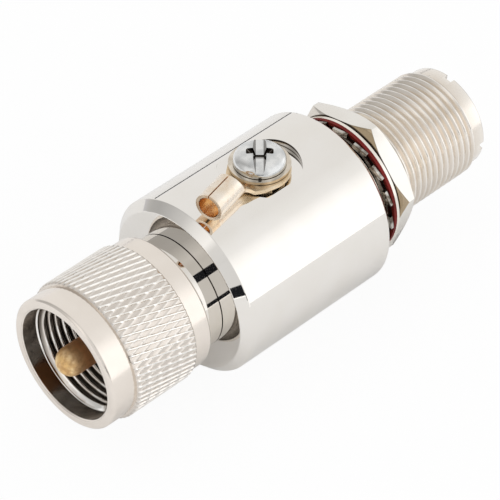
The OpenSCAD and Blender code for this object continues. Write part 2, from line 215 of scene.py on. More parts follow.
# where painted shade lies in the loose stack on the barrel and round the ground screw, in mm
paintedShadePlaces = {"drop": -0.41, "nutFront": 4.45, "nutRim": 10.25, "gasketFront": 3.25, "gasketRim": 9.6,
    "washerTop": 12.75, "screwX": -12.2, "reach": 6.5, "flat": 11.82, "wallLow": 12.33, "wallHigh": 12.69}


def plated(name, low, high, rough, cloudScale=300, bump=0.05, shadedBy=None):
    # nickel or zinc with a faint cloudy tone; three attributes change it from place to place:
    # one is painted shade in recesses and gaps, one whitens worn crests with a painted highlight,
    # "tan" gives a yellowed face, on the hub and nut a painted reflection; the last argument
    # gives the share of painted shade by place
    f = Finish(name, Metallic=1)
    cloud = f.noise(cloudScale, 4)
    tint = f.blend(f.mark("wearAndHighlight"), f.mottled(cloud, low, high), burnishedHighlight)
    tint = f.blend(f.mark("tan"), tint, yellowedAndReflected)
    if shadedBy:
        tint = f.blend(shadedBy(f), tint, paintedShadeTone)
    return f.shade(Base_Color=f.blend(f.mark("paintedShade"), tint, paintedShadeTone),
        Roughness=f.ramp(cloud, (0.35, rough*0.8), (0.7, rough*1.2)),
        Normal=f.bump(f.noise(cloudScale*5, 3), bump, 0.00002)).material


def wornBrass():
    # one attribute paints shade back from the tip, in red-brown, where the pin sits in the dark mouth
    f = Finish("wornBrass", Metallic=1)
    speck = f.noise(1500, 5, rough=0.6)
    base = f.mottled(f.noise(520, 3), (0.84, 0.57, 0.26), (1.0, 0.83, 0.52), 0.14)
    base = f.blend(f.mark("paintedShade"), base, (0.62, 0.30, 0.13, 1))
    tint = f.blend(f.ramp(speck, (0.40, 0.55), (0.56, 0.0)), base, (0.50, 0.27, 0.12, 1))
    return f.shade(Base_Color=tint, Roughness=f.ramp(speck, (0.3, 0.62), (0.7, 0.48)),
        Normal=f.bump(speck, 0.25, 0.00004)).material


def tinOverCopper():
    # thin tin, rubbed through to copper in spots; one attribute gives copper, and under the barrel's mouth
    # painted shade in copper colour, "tan" the duller flat tongue
    f = Finish("tinnedCopper", Metallic=1)
    cloud = f.noise(420, 4, rough=0.6)
    spots = f.ramp(f.noise(800, 5, rough=0.65), (0.55, 0.0), (0.68, 1.0))
    tin = f.mottled(cloud, (0.82, 0.70, 0.56), (0.89, 0.81, 0.71))
    flat = f.mottled(cloud, (0.68, 0.52, 0.33), (0.84, 0.70, 0.51))
    copper = f.mottled(cloud, (0.66, 0.38, 0.17), (0.98, 0.74, 0.46), 0.1)
    rubbed = f.blend(spots*0.4, f.blend(f.mark("tan"), tin, flat), (0.70, 0.42, 0.24, 1))
    return f.shade(Base_Color=f.blend(f.mark("copperAndShade"), rubbed, copper),
        Roughness=f.ramp(cloud, (0.35, 0.30), (0.65, 0.20)), Normal=f.bump(cloud, 0.2, 0.00004)).material


def darker(colour):
    return tuple(c*0.7 for c in colour)


def rubber(name, colour, rough=0.55, shadedBy=None):
    f = Finish(name, Metallic=0, Specular_IOR_Level=0.15)
    grain = f.noise(2500, 3)
    tint = f.mottled(f.noise(400, 3), colour, darker(colour), 0.1)
    if shadedBy:
        tint = f.blend(shadedBy(f), tint, shadedRed)
    return f.shade(Base_Color=tint, Roughness=f.ramp(grain, (0.3, rough*0.9), (0.7, rough*1.1)),
        Normal=f.bump(grain, 0.15, 0.00003)).material


def mouldedPlastic(name, colour, rough=0.4):
    f = Finish(name, Metallic=0)
    cloud = f.noise(260, 4)
    return f.shade(Base_Color=f.mottled(cloud, colour, darker(colour), 0.1),
        Roughness=f.ramp(cloud, (0.3, rough*0.9), (0.7, rough*1.15))).material


finishes = {
    # painted shade on the upper wall round the sunk flat
    "mirror": plated("polishedNickel", (0.862, 0.832, 0.787), (0.878, 0.85, 0.812), 0.045, 220, 0.0,
        lambda f: f.wallTop()),
    "ring": plated("satinNickelRing", (0.845, 0.778, 0.708), (0.875, 0.81, 0.742), 0.17, 320, 0.05),
    "barrel": plated("satinNickelBarrel", (0.84, 0.765, 0.675), (0.88, 0.81, 0.73), 0.17, 300, 0.06),
    # painted shade on the nut's front face round the washers
    "nut": plated("nickelNut", (0.84, 0.81, 0.76), (0.87, 0.845, 0.80), 0.13, 260, 0.05,
        lambda f: f.stackFront(paintedShadePlaces["nutFront"], paintedShadePlaces["nutRim"])),
    "washer": plated("nickelWasher", (0.86, 0.81, 0.73), (0.91, 0.87, 0.80), 0.2, 300),
    "teeth": plated("springSteelTeeth", (0.16, 0.13, 0.10), (0.90, 0.87, 0.81), 0.14, 900, 0.25),
    "brass": wornBrass(),
    "zinc": plated("brightZinc", (0.63, 0.64, 0.64), (0.83, 0.83, 0.82), 0.12, 700, 0.1),
    # its tan tint is a painted reflection of the brass-coloured parts round it; painted shade along the
    # washer's lowest edge
    "zincWasher": plated("zincWithReflectedTan", (0.60, 0.53, 0.44), (0.78, 0.71, 0.61), 0.1, 600, 0.08,
        lambda f: f.split(f.place())[2].under(paintedShadePlaces["washerTop"])),
    "tin": tinOverCopper(),
    # painted shade on the gasket's face behind the star washer
    "red": rubber("redRubber", (0.15, 0.012, 0.009), 0.6,
        lambda f: f.stackFront(paintedShadePlaces["gasketFront"], paintedShadePlaces["gasketRim"])),
    "black": rubber("blackRubber", (0.02, 0.02, 0.02)),
    "brown": mouldedPlastic("brownPlastic", (0.06, 0.025, 0.012)),
    "ceramic": mouldedPlastic("whiteCeramic", (0.85, 0.84, 0.82), 0.2),
}
print("finishes made:", len(finishes))


# shape helpers
def rounded(points, steps=3):
    # points are (along, out, fillet) in mm; each corner with a fillet is cut by a small curve
    out = []
    count = len(points)
    for i, (x, r, fillet) in enumerate(points):
        if fillet <= 0:
            out.append((x, r))
            continue
        here = Vector((x, r))
        before = Vector(points[i - 1][:2]) - here
        after = Vector(points[(i + 1) % count][:2]) - here
        a = here + before.normalized()*min(fillet, before.length*0.45)
        b = here + after.normalized()*min(fillet, after.length*0.45)
        for k in range(steps + 1):
            t = k/steps
            p = a*(1 - t)**2 + here*2*t*(1 - t) + b*t*t
            out.append((p.x, p.y))
    return out


def latheMesh(name, points, around, closed=True, moved=None, centre=(0, 0), upright=False):
    # spins a profile round X, or round Z through centre when upright; moved shifts each vertex's radius
    bm = bmesh.new()
    ring = []
    for along, out in points:
        co = (along*mm, 0, out*mm) if not upright else (out*mm, 0, along*mm)
        ring.append(bm.verts.new(co))
    pairs = list(zip(ring, ring[1:] + (ring[:1] if closed else [])))
    if not closed:
        pairs = pairs[:len(ring) - 1]
    edges = [bm.edges.new(pair) for pair in pairs]
    axis = (0, 0, 1) if upright else (1, 0, 0)
    bmesh.ops.spin(bm, geom=ring + edges, cent=(0, 0, 0), axis=axis, angle=2*math.pi, steps=around,
        use_merge=True)
    bmesh.ops.remove_doubles(bm, verts=bm.verts, dist=1e-7)
    if moved:
        for v in bm.verts:
            along = v.co.z if upright else v.co.x
            a, b = (v.co.x, v.co.y) if upright else (v.co.y, v.co.z)
            out = math.hypot(a, b)
            if out < 1e-7:
                continue
            fresh = moved(along/mm, math.atan2(b, a), out/mm)*mm/out
            v.co = (a*fresh, b*fresh, v.co.z) if upright else (v.co.x, a*fresh, b*fresh)
    if upright:
        bmesh.ops.translate(bm, verts=bm.verts, vec=(centre[0]*mm, centre[1]*mm, 0))
    bmesh.ops.recalc_face_normals(bm, faces=bm.faces)
    return toObject(bm, name)


def wrapGrid(name, around, rows, place):
    # a grid closed both ways into one skin; place(i, j) gives each of its points in mm
    bm = bmesh.new()
    bmesh.ops.create_grid(bm, x_segments=around, y_segments=rows, size=0.5)
    for v in bm.verts:
        i, j = round((v.co.x + 0.5)*around), round((v.co.y + 0.5)*rows)
        v.co = [c*mm for c in place(i % around, j % rows)]
    bmesh.ops.remove_doubles(bm, verts=bm.verts, dist=1e-7)
    bmesh.ops.recalc_face_normals(bm, faces=bm.faces)
    return toObject(bm, name)


def toObject(bm, name):
    mesh = bpy.data.meshes.new(name)
    bm.to_mesh(mesh)
    bm.free()
    made = bpy.data.objects.new(name, mesh)
    bpy.context.scene.collection.objects.link(made)
    return made


def shadeSmooth(made, degrees=32):
    made.data.polygons.foreach_set("use_smooth", [True]*len(made.data.polygons))
    made.data.set_sharp_from_angle(angle=math.radians(degrees))


def bake(made):
    # applies the live modifiers to the mesh
    graph = bpy.context.evaluated_depsgraph_get()
    mesh = bpy.data.meshes.new_from_object(made.evaluated_get(graph))
    made.modifiers.clear()
    old = made.data
    made.data = mesh
    bpy.data.meshes.remove(old)


def cutAway(made, *cutters):
    for cutter in cutters:
        modifier = made.modifiers.new("cut", "BOOLEAN")
        modifier.operation = "DIFFERENCE"
        modifier.solver = "EXACT"
        modifier.object = cutter
    bake(made)
    for cutter in cutters:
        bpy.data.objects.remove(cutter)


def barCutter(low, high, radius, x, split=None, segments=160):
    # upright round cutter between two heights; split divides its wall at that height
    bm = bmesh.new()
    bmesh.ops.create_cone(bm, cap_ends=True, segments=segments, radius1=radius*mm, radius2=radius*mm,
        depth=(high - low)*mm)
    bmesh.ops.translate(bm, verts=bm.verts, vec=(x*mm, 0, (low + high)/2*mm))
    if split is not None:
        bmesh.ops.bisect_plane(bm, geom=bm.verts[:] + bm.edges[:] + bm.faces[:], plane_co=(0, 0, split*mm),
            plane_no=(0, 0, 1))
    return toObject(bm, "cutter")


def boxCutter(size, turn, centre):
    bm = bmesh.new()
    bmesh.ops.create_cube(bm, size=1)
    bmesh.ops.scale(bm, verts=bm.verts, vec=[s*mm for s in size])
    bm.transform(turn)
    bmesh.ops.translate(bm, verts=bm.verts, vec=[c*mm for c in centre])
    return toObject(bm, "cutter")


def wedgeCutter(head, foot, depth, turn, top, corner=0):
    # a box that narrows from head, its size at the top, to foot at its depth
    bm = bmesh.new()
    bmesh.ops.create_cube(bm, size=1)
    for v in bm.verts:
        up = v.co.z > 0
        for axis in (0, 1):
            v.co[axis] *= 2*head[axis] - foot[axis] if up else foot[axis]
        v.co.z = depth if up else -depth
    if corner:
        upright = [e for e in bm.edges if abs(e.verts[0].co.z - e.verts[1].co.z) > depth]
        bmesh.ops.bevel(bm, geom=upright, offset=corner, affect="EDGES", segments=3, profile=0.5,
            material=-1)
    bmesh.ops.scale(bm, verts=bm.verts, vec=(mm, mm, mm))
    bm.transform(Matrix.Rotation(math.radians(turn), 4, "Z"))
    bmesh.ops.translate(bm, verts=bm.verts, vec=[c*mm for c in top])
    return toObject(bm, "cutter")


# how far a facet may stray from the turned surface that it counts as part of: the tilts as
# sines, the two lengths in mm
sameSurface = {"upright": 0.06, "onBore": 0.02, "sideways": 0.05, "level": 0.012, "sloped": 0.04}


def turnedNormals(made, uprightBores=(), dome=None):
    # a cut mirror finish shows every facet, so loops get the normal of the turned surface they lie on
    mesh = made.data
    stray = sameSurface
    mesh.polygons.foreach_set("use_smooth", [True]*len(mesh.polygons))
    normals = [None]*len(mesh.loops)
    for face in mesh.polygons:
        corners = [mesh.vertices[v].co for v in face.vertices]
        n = face.normal
        found = None
        for x, radius in uprightBores:
            out = [math.hypot(c.x - x*mm, c.y)/mm for c in corners]
            if abs(n.z) < stray["upright"] and max(abs(o - radius) for o in out) < stray["onBore"]:
                found = ("upright", x)
        radii = [math.hypot(c.y, c.z)/mm for c in corners]
        if found is None and dome is None:
            middle = face.center
            out = Vector((0, middle.y, middle.z)).normalized()
            side = Vector((1, 0, 0)).cross(out)
            level = max(radii) - min(radii) < stray["level"]
            if abs(n.dot(side)) < stray["sideways"] and (level or abs(n.x) > stray["sloped"]):
                found = ("turned", n.x, n.dot(out))
        for loop, c in zip(face.loop_indices, corners):
            if dome is not None:
                normals[loop] = dome(c, n)
            elif found is None:
                normals[loop] = n.copy()
            elif found[0] == "upright":
                radial = Vector((c.x - found[1]*mm, c.y, 0)).normalized()
                normals[loop] = radial if radial.dot(n) > 0 else -radial
            else:
                radial = Vector((0, c.y, c.z)).normalized()
                normals[loop] = (Vector((found[1], 0, 0)) + radial*found[2]).normalized()
    mesh.normals_split_custom_set(normals)


def evenNormals(made):
    # lets the large faces set the normals, so that flat bands stay flat beside small fillets
    weigh = made.modifiers.new("even", "WEIGHTED_NORMAL")
    weigh.keep_sharp = True
    bake(made)


def threadNormals(made, low, high, radiusAt):
    # exact normals of a thread whose radius is radiusAt(x, turn), for the faces between low and high
    mesh = made.data
    near, half = 0.3, 0.04  # how near the thread a face counts as its own, and half of a slope's step
    normals = [normal.vector.copy() for normal in mesh.corner_normals]
    for face in mesh.polygons:
        if not low < face.center.x/mm < high:
            continue
        out = math.hypot(face.center.y, face.center.z)/mm
        if abs(out - radiusAt(face.center.x/mm, math.atan2(face.center.z, face.center.y))) > near:
            continue
        for loop, v in zip(face.loop_indices, face.vertices):
            c = mesh.vertices[v].co/mm
            turn = math.atan2(c.z, c.y)
            slope = (radiusAt(c.x + half, turn) - radiusAt(c.x - half, turn))/(2*half)
            radial = Vector((0, math.cos(turn), math.sin(turn)))
            n = (radial - Vector((slope, 0, 0))).normalized()
            normals[loop] = n if n.dot(face.normal) > 0 else -n
    mesh.normals_split_custom_set(normals)


def wave(phase):
    # triangle wave: 1 in the middle of each turn, 0 at its ends
    return 1 - abs(2*(phase - math.floor(phase)) - 1)


def bound(value, low=0.0, high=1.0):
    return max(low, min(high, value))


def eased(value):
    value = bound(value)
    return value*value*(3 - 2*value)


def markPoints(made, name, level):
    # one number at each point, for the finish to read; level takes the point's place in mm
    layer = made.data.attributes.new(name, "FLOAT", "POINT")
    for i, v in enumerate(made.data.vertices):
        layer.data[i].value = level(v.co/mm)


def markFaces(made, name, level):
    layer = made.data.attributes.new(name, "FLOAT", "FACE")
    for i, face in enumerate(made.data.polygons):
        layer.data[i].value = level(face.center/mm, face.normal)


def dress(made, material, body, slotName, *replaced):
    made.data.materials.clear()
    made.data.materials.append(material)
    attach(made, body)
    if replaced:
        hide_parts(*replaced)
    print(made.name, "faces:", len(made.data.polygons))


def span(low, high, count):
    return [low + (high - low)*i/count for i in range(count + 1)]


# housing
housing = {"radius": 12.7, "front": -26.8, "frontChamfer": 1.25, "rearChamfer": 0.65, "hub": 8.1997,
    "hubFront": -29.8, "seam": 0.1, "seamDepth": 0.2, "socket": 7.21, "socketEnd": -21.8, "chamber": 6.3,
    "chamberEnd": -5, "rearBore": 8.8075, "screwX": -12.2, "spot": 5.6, "spotFloor": 11.8, "hole": 2.0,
    "holeEnd": 6.9, "tubeBore": 4.15, "capBore": 5.0, "capShoulder": -8.6, "tubeTop": -2.0,
    "pastTop": 3, "pastTube": 1, "pastCap": 2, "around": 256, "seamShade": 0.75, "hubShade": 0.03,
    "hubTan": 0.12, "foot": 0.12, "footShade": 0.92, "wallShade": 0.3}


def makeHousing(d):
    r, front = d["radius"], d["front"]
    profile = rounded([
        (d["hubFront"], d["socket"], 0), (d["hubFront"], d["hub"], 0.15), (front - d["seam"], d["hub"], 0),
        (front - d["seam"], d["hub"] - d["seamDepth"], 0), (front, d["hub"] - d["seamDepth"], 0),
        (front, r - d["frontChamfer"], 0.1), (front + d["frontChamfer"], r, 0.1),
        (-d["rearChamfer"], r, 0.12), (0, r - d["rearChamfer"], 0.12), (0, d["rearBore"], 0),
        (d["chamberEnd"], d["rearBore"], 0), (d["chamberEnd"], d["chamber"], 0),
        (d["socketEnd"], d["chamber"], 0), (d["socketEnd"], d["socket"], 0)])
    made = latheMesh("housingShell", profile, d["around"])
    x = d["screwX"]
    footTop = d["spotFloor"] + d["foot"]
    cutAway(made, barCutter(d["spotFloor"], r + d["pastTop"], d["spot"], x, footTop),
        barCutter(d["holeEnd"], r, d["hole"], x),
        barCutter(-r - d["pastTube"], d["tubeTop"], d["tubeBore"], x),
        barCutter(-r - d["pastCap"], d["capShoulder"], d["capBore"], x))
    turnedNormals(made, [(x, d["spot"]), (x, d["hole"]), (x, d["tubeBore"]), (x, d["capBore"])])

    # painted shade: the seam groove, the hub, and the wall round the sunk flat in two bands
    def recess(c, n):
        out = math.hypot(c.y, c.z)
        if front - d["seam"] - 0.01 < c.x < front + 0.01 and out < d["hub"] + 0.001:
            return d["seamShade"]
        if c.x < front and out > d["hub"] - 0.1:
            return d["hubShade"]
        if c.z > 0 and abs(math.hypot(c.x - x, c.y) - d["spot"]) < 0.03 and abs(n.z) < 0.1:
            return d["footShade"] if c.z < footTop else d["wallShade"]
        return 0.0

    markFaces(made, "paintedShade", recess)
    # the hub's warm tint, with its slight darkening, is painted shade and reflection of the parts beside it
    markFaces(made, "tan", lambda c, n: d["hubTan"] if c.x < front else 0.0)
    dress(made, finishes["mirror"], "body", "polished_nickel", "housing")


makeHousing(housing)


# coupling ring
ring = {"front": -46.65, "rear": -29.85, "band": 9.3975, "knurl": 9.9475, "knurlFront": -43.0,
    "knurlRear": -32.8, "rearBand": 9.4975, "edge": 0.3, "line": 0.04, "mouth": 7.9975,
    "mouthEnd": -44.3, "minor": 7.3646, "threadEnd": -36.2, "lipFront": -34.6, "lip": 7.26,
    "grooveFront": -33.2, "grooveRear": -32.3, "groove": 7.9, "pitch": 1.0583, "threadDepth": 0.56,
    "ridges": 66, "ridgeLead": 3.5, "ridgeHeight": 0.17, "ridgeFoot": 0.375, "ridgeFlank": 0.25,
    "crossHeight": 0.085, "crossFoot": 0.31, "crossFlank": 0.22, "endFade": 0.25, "endHeight": 0.4,
    "endDrop": 0.1, "crestShare": 0.16, "flankShare": 0.7, "runOut": 0.5, "around": 528,
    "knurlRows": 62, "threadRows": 68, "valleyShade": 0.2, "stepShade": 0.1, "lineShade": 0.5,
    "mouthShade": 0.5, "threadShade": 0.95}


def makeRing(d):
    line, bevel = d["line"], d["rear"] - d["edge"]
    outer = rounded([(d["front"], d["mouth"] + 0.15, 0.05), (d["front"], d["band"] - d["edge"], 0.12),
        (d["front"] + d["edge"], d["band"], 0.12), (d["knurlFront"] - 0.1, d["band"], 0),
        (d["knurlFront"] - line, d["band"], 0)])
    knurl = [(x, d["knurl"]) for x in span(d["knurlFront"], d["knurlRear"], d["knurlRows"])]
    inner = rounded([(d["knurlRear"] + line, d["rearBand"], 0), (d["knurlRear"] + 0.1, d["rearBand"], 0),
        (bevel - 2*line, d["rearBand"], 0), (bevel - line, d["rearBand"], 0), (bevel, d["rearBand"], 0),
        (bevel + line, d["rearBand"] - line, 0), (d["rear"], d["rearBand"] - d["edge"], 0.08),
        (d["rear"], d["lip"], 0), (d["grooveRear"], d["lip"], 0), (d["grooveRear"], d["groove"], 0),
        (d["grooveFront"], d["groove"], 0), (d["grooveFront"], d["lip"], 0), (d["lipFront"], d["lip"], 0),
        (d["lipFront"], d["mouth"], 0), (d["threadEnd"], d["mouth"], 0)])
    thread = [(x, d["minor"]) for x in span(d["threadEnd"] - 0.02, d["mouthEnd"] + 0.03, d["threadRows"])]
    rows = (d["mouthEnd"], d["mouthEnd"] - 0.08, d["front"] + 0.3, d["front"] + 0.15)
    wall = [(x, d["mouth"]) for x in rows]
    profile = outer + knurl + inner + thread + wall
    # rows of the knurl are turned along its ridges, and the thread's rows turn back
    turnAll = (d["knurlRear"] - d["knurlFront"])/d["ridgeLead"]*2*math.pi/d["ridges"]
    firstKnurl, firstInner = len(outer), len(outer) + len(knurl)
    firstThread = firstInner + len(inner)
    turns = []
    for j in range(len(profile)):
        share = bound((j - firstKnurl)/(len(knurl) - 1)) - bound((j - firstThread)/(len(thread) - 1))
        turns.append(share*turnAll)

    def ridge(phase, foot, flank):
        return bound((foot - 1 + wave(phase))/flank)

    def landAt(x):
        # radius of the thread's crests, which end on the mouth's lead-in cone
        return max(d["minor"], d["mouth"] - (x - d["mouthEnd"]))

    def threadAt(x, turn):
        level = wave(x/d["pitch"] - turn/(2*math.pi))
        groove = bound((level - d["crestShare"])/d["flankShare"])*bound((d["threadEnd"] - x)/d["runOut"])
        return max(d["minor"] + d["threadDepth"]*groove, landAt(x))

    def place(i, j):
        x, out = profile[j]
        turn = 2*math.pi*i/d["around"] + turns[j]
        if firstKnurl <= j < firstInner:
            around = d["ridges"]*turn/(2*math.pi) + d["ridges"]/d["around"]/2
            lead = (x - d["knurlFront"])/d["ridgeLead"]
            high = max(d["ridgeHeight"]*ridge(around - lead, d["ridgeFoot"], d["ridgeFlank"]),
                d["crossHeight"]*ridge(around + lead, d["crossFoot"], d["crossFlank"]))
            ends = bound(min(x - d["knurlFront"], d["knurlRear"] - x)/d["endFade"])
            high *= d["endHeight"] + (1 - d["endHeight"])*ends
            out = out - d["ridgeHeight"] + high - d["endDrop"]*(1 - ends)
        elif j >= firstThread and abs(out - d["minor"]) < 1e-3:
            out = threadAt(x, turn)
        return x, out*math.cos(turn), out*math.sin(turn)

    made = wrapGrid("knurledRing", d["around"], len(profile), place)

    # painted shade: knurl valleys, the knurl's step and edge lines, the mouth wall and the thread roots
    def recess(c):
        out = math.hypot(c.y, c.z)
        if out > d["mouth"] + 0.1 and d["front"] < c.x < d["rear"]:
            if d["knurlFront"] + 0.1 < c.x < d["knurlRear"] - 0.1:
                return d["valleyShade"]*bound((d["knurl"] - out)/d["ridgeHeight"])
            if abs(c.x - d["knurlFront"]) < 0.05:
                return d["stepShade"]
            lines = (d["knurlRear"], bevel - line/2)
            return d["lineShade"] if min(abs(c.x - x) for x in lines) < 0.05 else 0.0
        if c.x < d["front"] + 0.2:
            return 0.0
        if c.x < d["mouthEnd"] - 0.02:
            return d["mouthShade"]
        return d["threadShade"]*bound((out - landAt(c.x) - 0.1)/0.24)

    # worn crests of the knurl and the inner thread, whitened also as a painted highlight
    def crests(c):
        out = math.hypot(c.y, c.z)
        if d["mouthEnd"] + 0.02 < c.x < d["threadEnd"] and out < landAt(c.x) + 0.05:
            return 1.0
        if not d["knurlFront"] < c.x < d["knurlRear"] or out < d["band"]:
            return 0.0
        return bound((out - d["knurl"] + d["ridgeHeight"]*0.8)/(d["ridgeHeight"]*0.5))

    markPoints(made, "paintedShade", recess)
    markPoints(made, "wearAndHighlight", crests)
    shadeSmooth(made, 40)
    evenNormals(made)
    threadNormals(made, d["mouthEnd"] + 0.05, d["threadEnd"] - 0.05, threadAt)
    dress(made, finishes["ring"], "ring", "satin_nickel", "coupling_ring")


makeRing(ring)


# centre pin
pin = {"tip": -47.4, "radius": 2.0, "domeRows": 20, "plain": 1.2, "shankStart": -37.2, "shank": 1.5,
    "end": -18.8, "around": 96, "brightTo": 0.35, "fade": 1.1}


def makePin(d):
    r = d["radius"]
    dome = [(d["tip"] + r*(1 - math.cos(turn)), r*math.sin(turn))
        for turn in span(0, math.pi/2, d["domeRows"])]
    shaft = [(d["tip"] + r + d["plain"], r), (d["shankStart"], r), (d["shankStart"], d["shank"]),
        (d["end"], d["shank"]), (d["end"], 0)]
    made = latheMesh("domedPin", dome + shaft, d["around"], closed=False)
    # painted shade: darker and redder back from the tip, inside the ring's dark mouth
    markPoints(made, "paintedShade", lambda c: bound((c.x - d["tip"] - r*d["brightTo"])/(r*d["fade"])))
    shadeSmooth(made, 30)
    dress(made, finishes["brass"], "body", "bare_brass", "male_pin")


makePin(pin)


# bulkhead barrel
barrel = {"thread": 7.9375, "pitch": 1.0583, "depth": 0.5729, "end": 21.5, "nose": 7.3975, "noseEnd": 23.65,
    "bore": 6.0975, "flange": 8.7975, "flangeBack": -5, "start": 0.5, "rootShare": 0.1,
    "flankShare": 0.78, "runIn": 0.9, "endBevel": 0.35, "notchWidth": 1.3, "notchDepth": 0.8,
    "notchSpan": 30, "notchTurn": -6, "around": 224, "rows": 280, "boreShade": 0.5,
    "grooveShade": 0.08, "rimShade": 0.3, "noseWearAndHighlight": 0.5, "crestWearAndHighlight": 0.7}


def makeBarrel(d):
    thread = [(x, d["thread"]) for x in span(0.1, d["end"] - 0.02, d["rows"])]
    profile = [(d["flangeBack"], d["bore"]), (d["flangeBack"], d["flange"]), (0, d["flange"]),
        (0, d["thread"] - 0.005)] + thread
    profile += rounded([(d["end"], d["nose"], 0), (d["noseEnd"], d["nose"], 0.25),
        (d["noseEnd"], d["bore"], 0.15)])

    def threadAt(x, turn):
        level = wave(x/d["pitch"] - turn/(2*math.pi))
        groove = 1 - bound((level - d["rootShare"])/d["flankShare"])
        fade = bound((x - d["start"])/d["runIn"])
        cone = d["thread"] - max(0, d["endBevel"] - (d["end"] - x))
        return min(d["thread"] - d["depth"]*groove*fade, cone)

    def place(i, j):
        x, out = profile[j]
        turn = 2*math.pi*i/d["around"]
        if abs(out - d["thread"]) < 1e-3:
            out = threadAt(x, turn)
        return x, out*math.cos(turn), out*math.sin(turn)

    made = wrapGrid("threadedBarrel", d["around"], len(profile), place)
    cutters = []
    for quarter in (0, 90):
        turn = Matrix.Rotation(math.radians(quarter - d["notchTurn"]), 4, "X")
        size = (2*d["notchDepth"], d["notchWidth"], d["notchSpan"])
        cutters.append(boxCutter(size, turn, (d["noseEnd"], 0, 0)))
    cutAway(made, *cutters)

    # painted shade: the bore, the thread grooves and the nose rim
    def recess(c):
        out = math.hypot(c.y, c.z)
        if out < d["bore"] + 0.1:
            return d["boreShade"]
        if c.x < d["end"] + 0.02:
            return d["grooveShade"]*bound((d["thread"] - out - 0.06)/0.45)
        return d["rimShade"] if c.x > d["noseEnd"] - 0.2 and out > d["nose"] - 0.22 else 0.0

    # the nose and the thread crests whitened, worn and with a painted highlight
    def crests(c):
        if c.x > d["end"] + 0.02:
            return d["noseWearAndHighlight"]
        crest = bound(1 - (d["thread"] - math.hypot(c.y, c.z))/0.12)
        return d["crestWearAndHighlight"]*crest if c.x > 0 else 0.0

    markPoints(made, "paintedShade", recess)
    markPoints(made, "wearAndHighlight", crests)
    shadeSmooth(made, 30)
    evenNormals(made)
    threadNormals(made, 0.15, d["end"] - 0.06, threadAt)
    dress(made, finishes["barrel"], "body", "satin_nickel", "bulkhead_barrel")


makeBarrel(barrel)


# ground screw
screw = {"x": -12.2, "seat": 13.106, "head": 3.5, "height": 2.0, "rim": 0.3, "bulge": 2.3,
    "shank": 1.95, "tipCone": 0.4, "pitch": 0.7, "depth": 0.4, "length": 6.0, "slotSpan": 12,
    "slotWidth": 1.8, "slotFoot": 1.0, "slotDepth": 1.1, "slotTurn": 45.7, "crossSpan": 3.85,
    "crossFoot": 1.7, "crossWidth": 1.1, "crossDepth": 1.3, "crossCorner": 0.2, "around": 144,
    "shankRows": 66, "domeRows": 24, "rootShare": 0.12, "flankShare": 0.74, "plain": 0.3,
    "runOut": 0.5, "underShade": 0.9, "crossShade": 0.6, "slotShade": 0.04, "wallShade": 0.92}


def makeScrew(d):
    z = d["seat"]
    power = d["bulge"]
    rise, cone, end = d["height"] - d["rim"], d["tipCone"], z - d["length"]
    tip = [(end, 0), (end, d["shank"] - cone), (end + cone - 0.02, d["shank"] - 0.02)]
    shank = [(h, d["shank"]) for h in span(end + cone, z - 0.05, d["shankRows"])]
    dome = []
    for turn in span(0, math.pi/2, d["domeRows"]):
        h, out = math.sin(turn)**(2/power), bound(math.cos(turn))**(2/power)
        dome.append((z + d["rim"] + rise*h, d["head"]*out))
    dome[-1] = (z + d["height"], 0)
    profile = tip + shank + [(z, d["shank"]), (z, d["head"] - 0.12), (z + 0.1, d["head"])] + dome

    def shaped(h, turn, out):
        if abs(out - d["shank"]) > 1e-3 or h > z - 0.01:
            return out
        level = wave(h/d["pitch"] - turn/(2*math.pi))
        groove = 1 - bound((level - d["rootShare"])/d["flankShare"])
        return d["shank"] - d["depth"]*groove*bound((z - d["plain"] - h)/d["runOut"])

    made = latheMesh("groundScrewDomed", profile, d["around"], closed=False, moved=shaped,
        centre=(d["x"], 0), upright=True)
    top = z + d["height"]
    slot = wedgeCutter((d["slotSpan"], d["slotWidth"]), (d["slotSpan"], d["slotFoot"]), d["slotDepth"],
        d["slotTurn"], (d["x"], 0, top))
    cross = wedgeCutter((d["crossSpan"], d["crossWidth"]), (d["crossFoot"], d["crossWidth"]*0.6),
        d["crossDepth"], d["slotTurn"] - 90, (d["x"], 0, top), d["crossCorner"])
    cutAway(made, slot, cross)

    def domeNormal(c, n):
        rho = math.hypot(c.x - d["x"]*mm, c.y)/mm
        h = (c.z/mm - z - d["rim"])/rise
        if n.z < 0.02 or h < 0 or h > 1.001:
            return n.copy()
        value = (rho/d["head"])**power + max(0, h)**power
        if abs(value - 1) > 0.03:
            return n.copy()
        exact = Vector((c.x - d["x"]*mm, c.y, 0)).normalized()*((rho/d["head"])**(power - 1)/d["head"])
        exact.z = max(0, h)**(power - 1)/rise
        exact.normalize()
        return exact if exact.dot(n) > 0.9 else n.copy()

    turnedNormals(made, dome=domeNormal)

    # painted shade: under the head, on the slot walls and in the cross recess, faintly on the slot floor
    def recess(c, n):
        rho = math.hypot(c.x - d["x"], c.y)
        h = (c.z - z - d["rim"])/rise
        if c.z < z + 0.09 and rho > d["shank"] + 0.1:
            return d["underShade"]
        if h > 0 and (rho/d["head"])**power + h**power < 0.97:
            if n.z < 0.7:
                return d["wallShade"]
            return d["crossShade"] if c.z < top - d["slotDepth"] - 0.02 else d["slotShade"]
        return 0.0

    markFaces(made, "paintedShade", recess)
    dress(made, finishes["zinc"], "screw", "zinc_plate", "ground_screw")


makeScrew(screw)


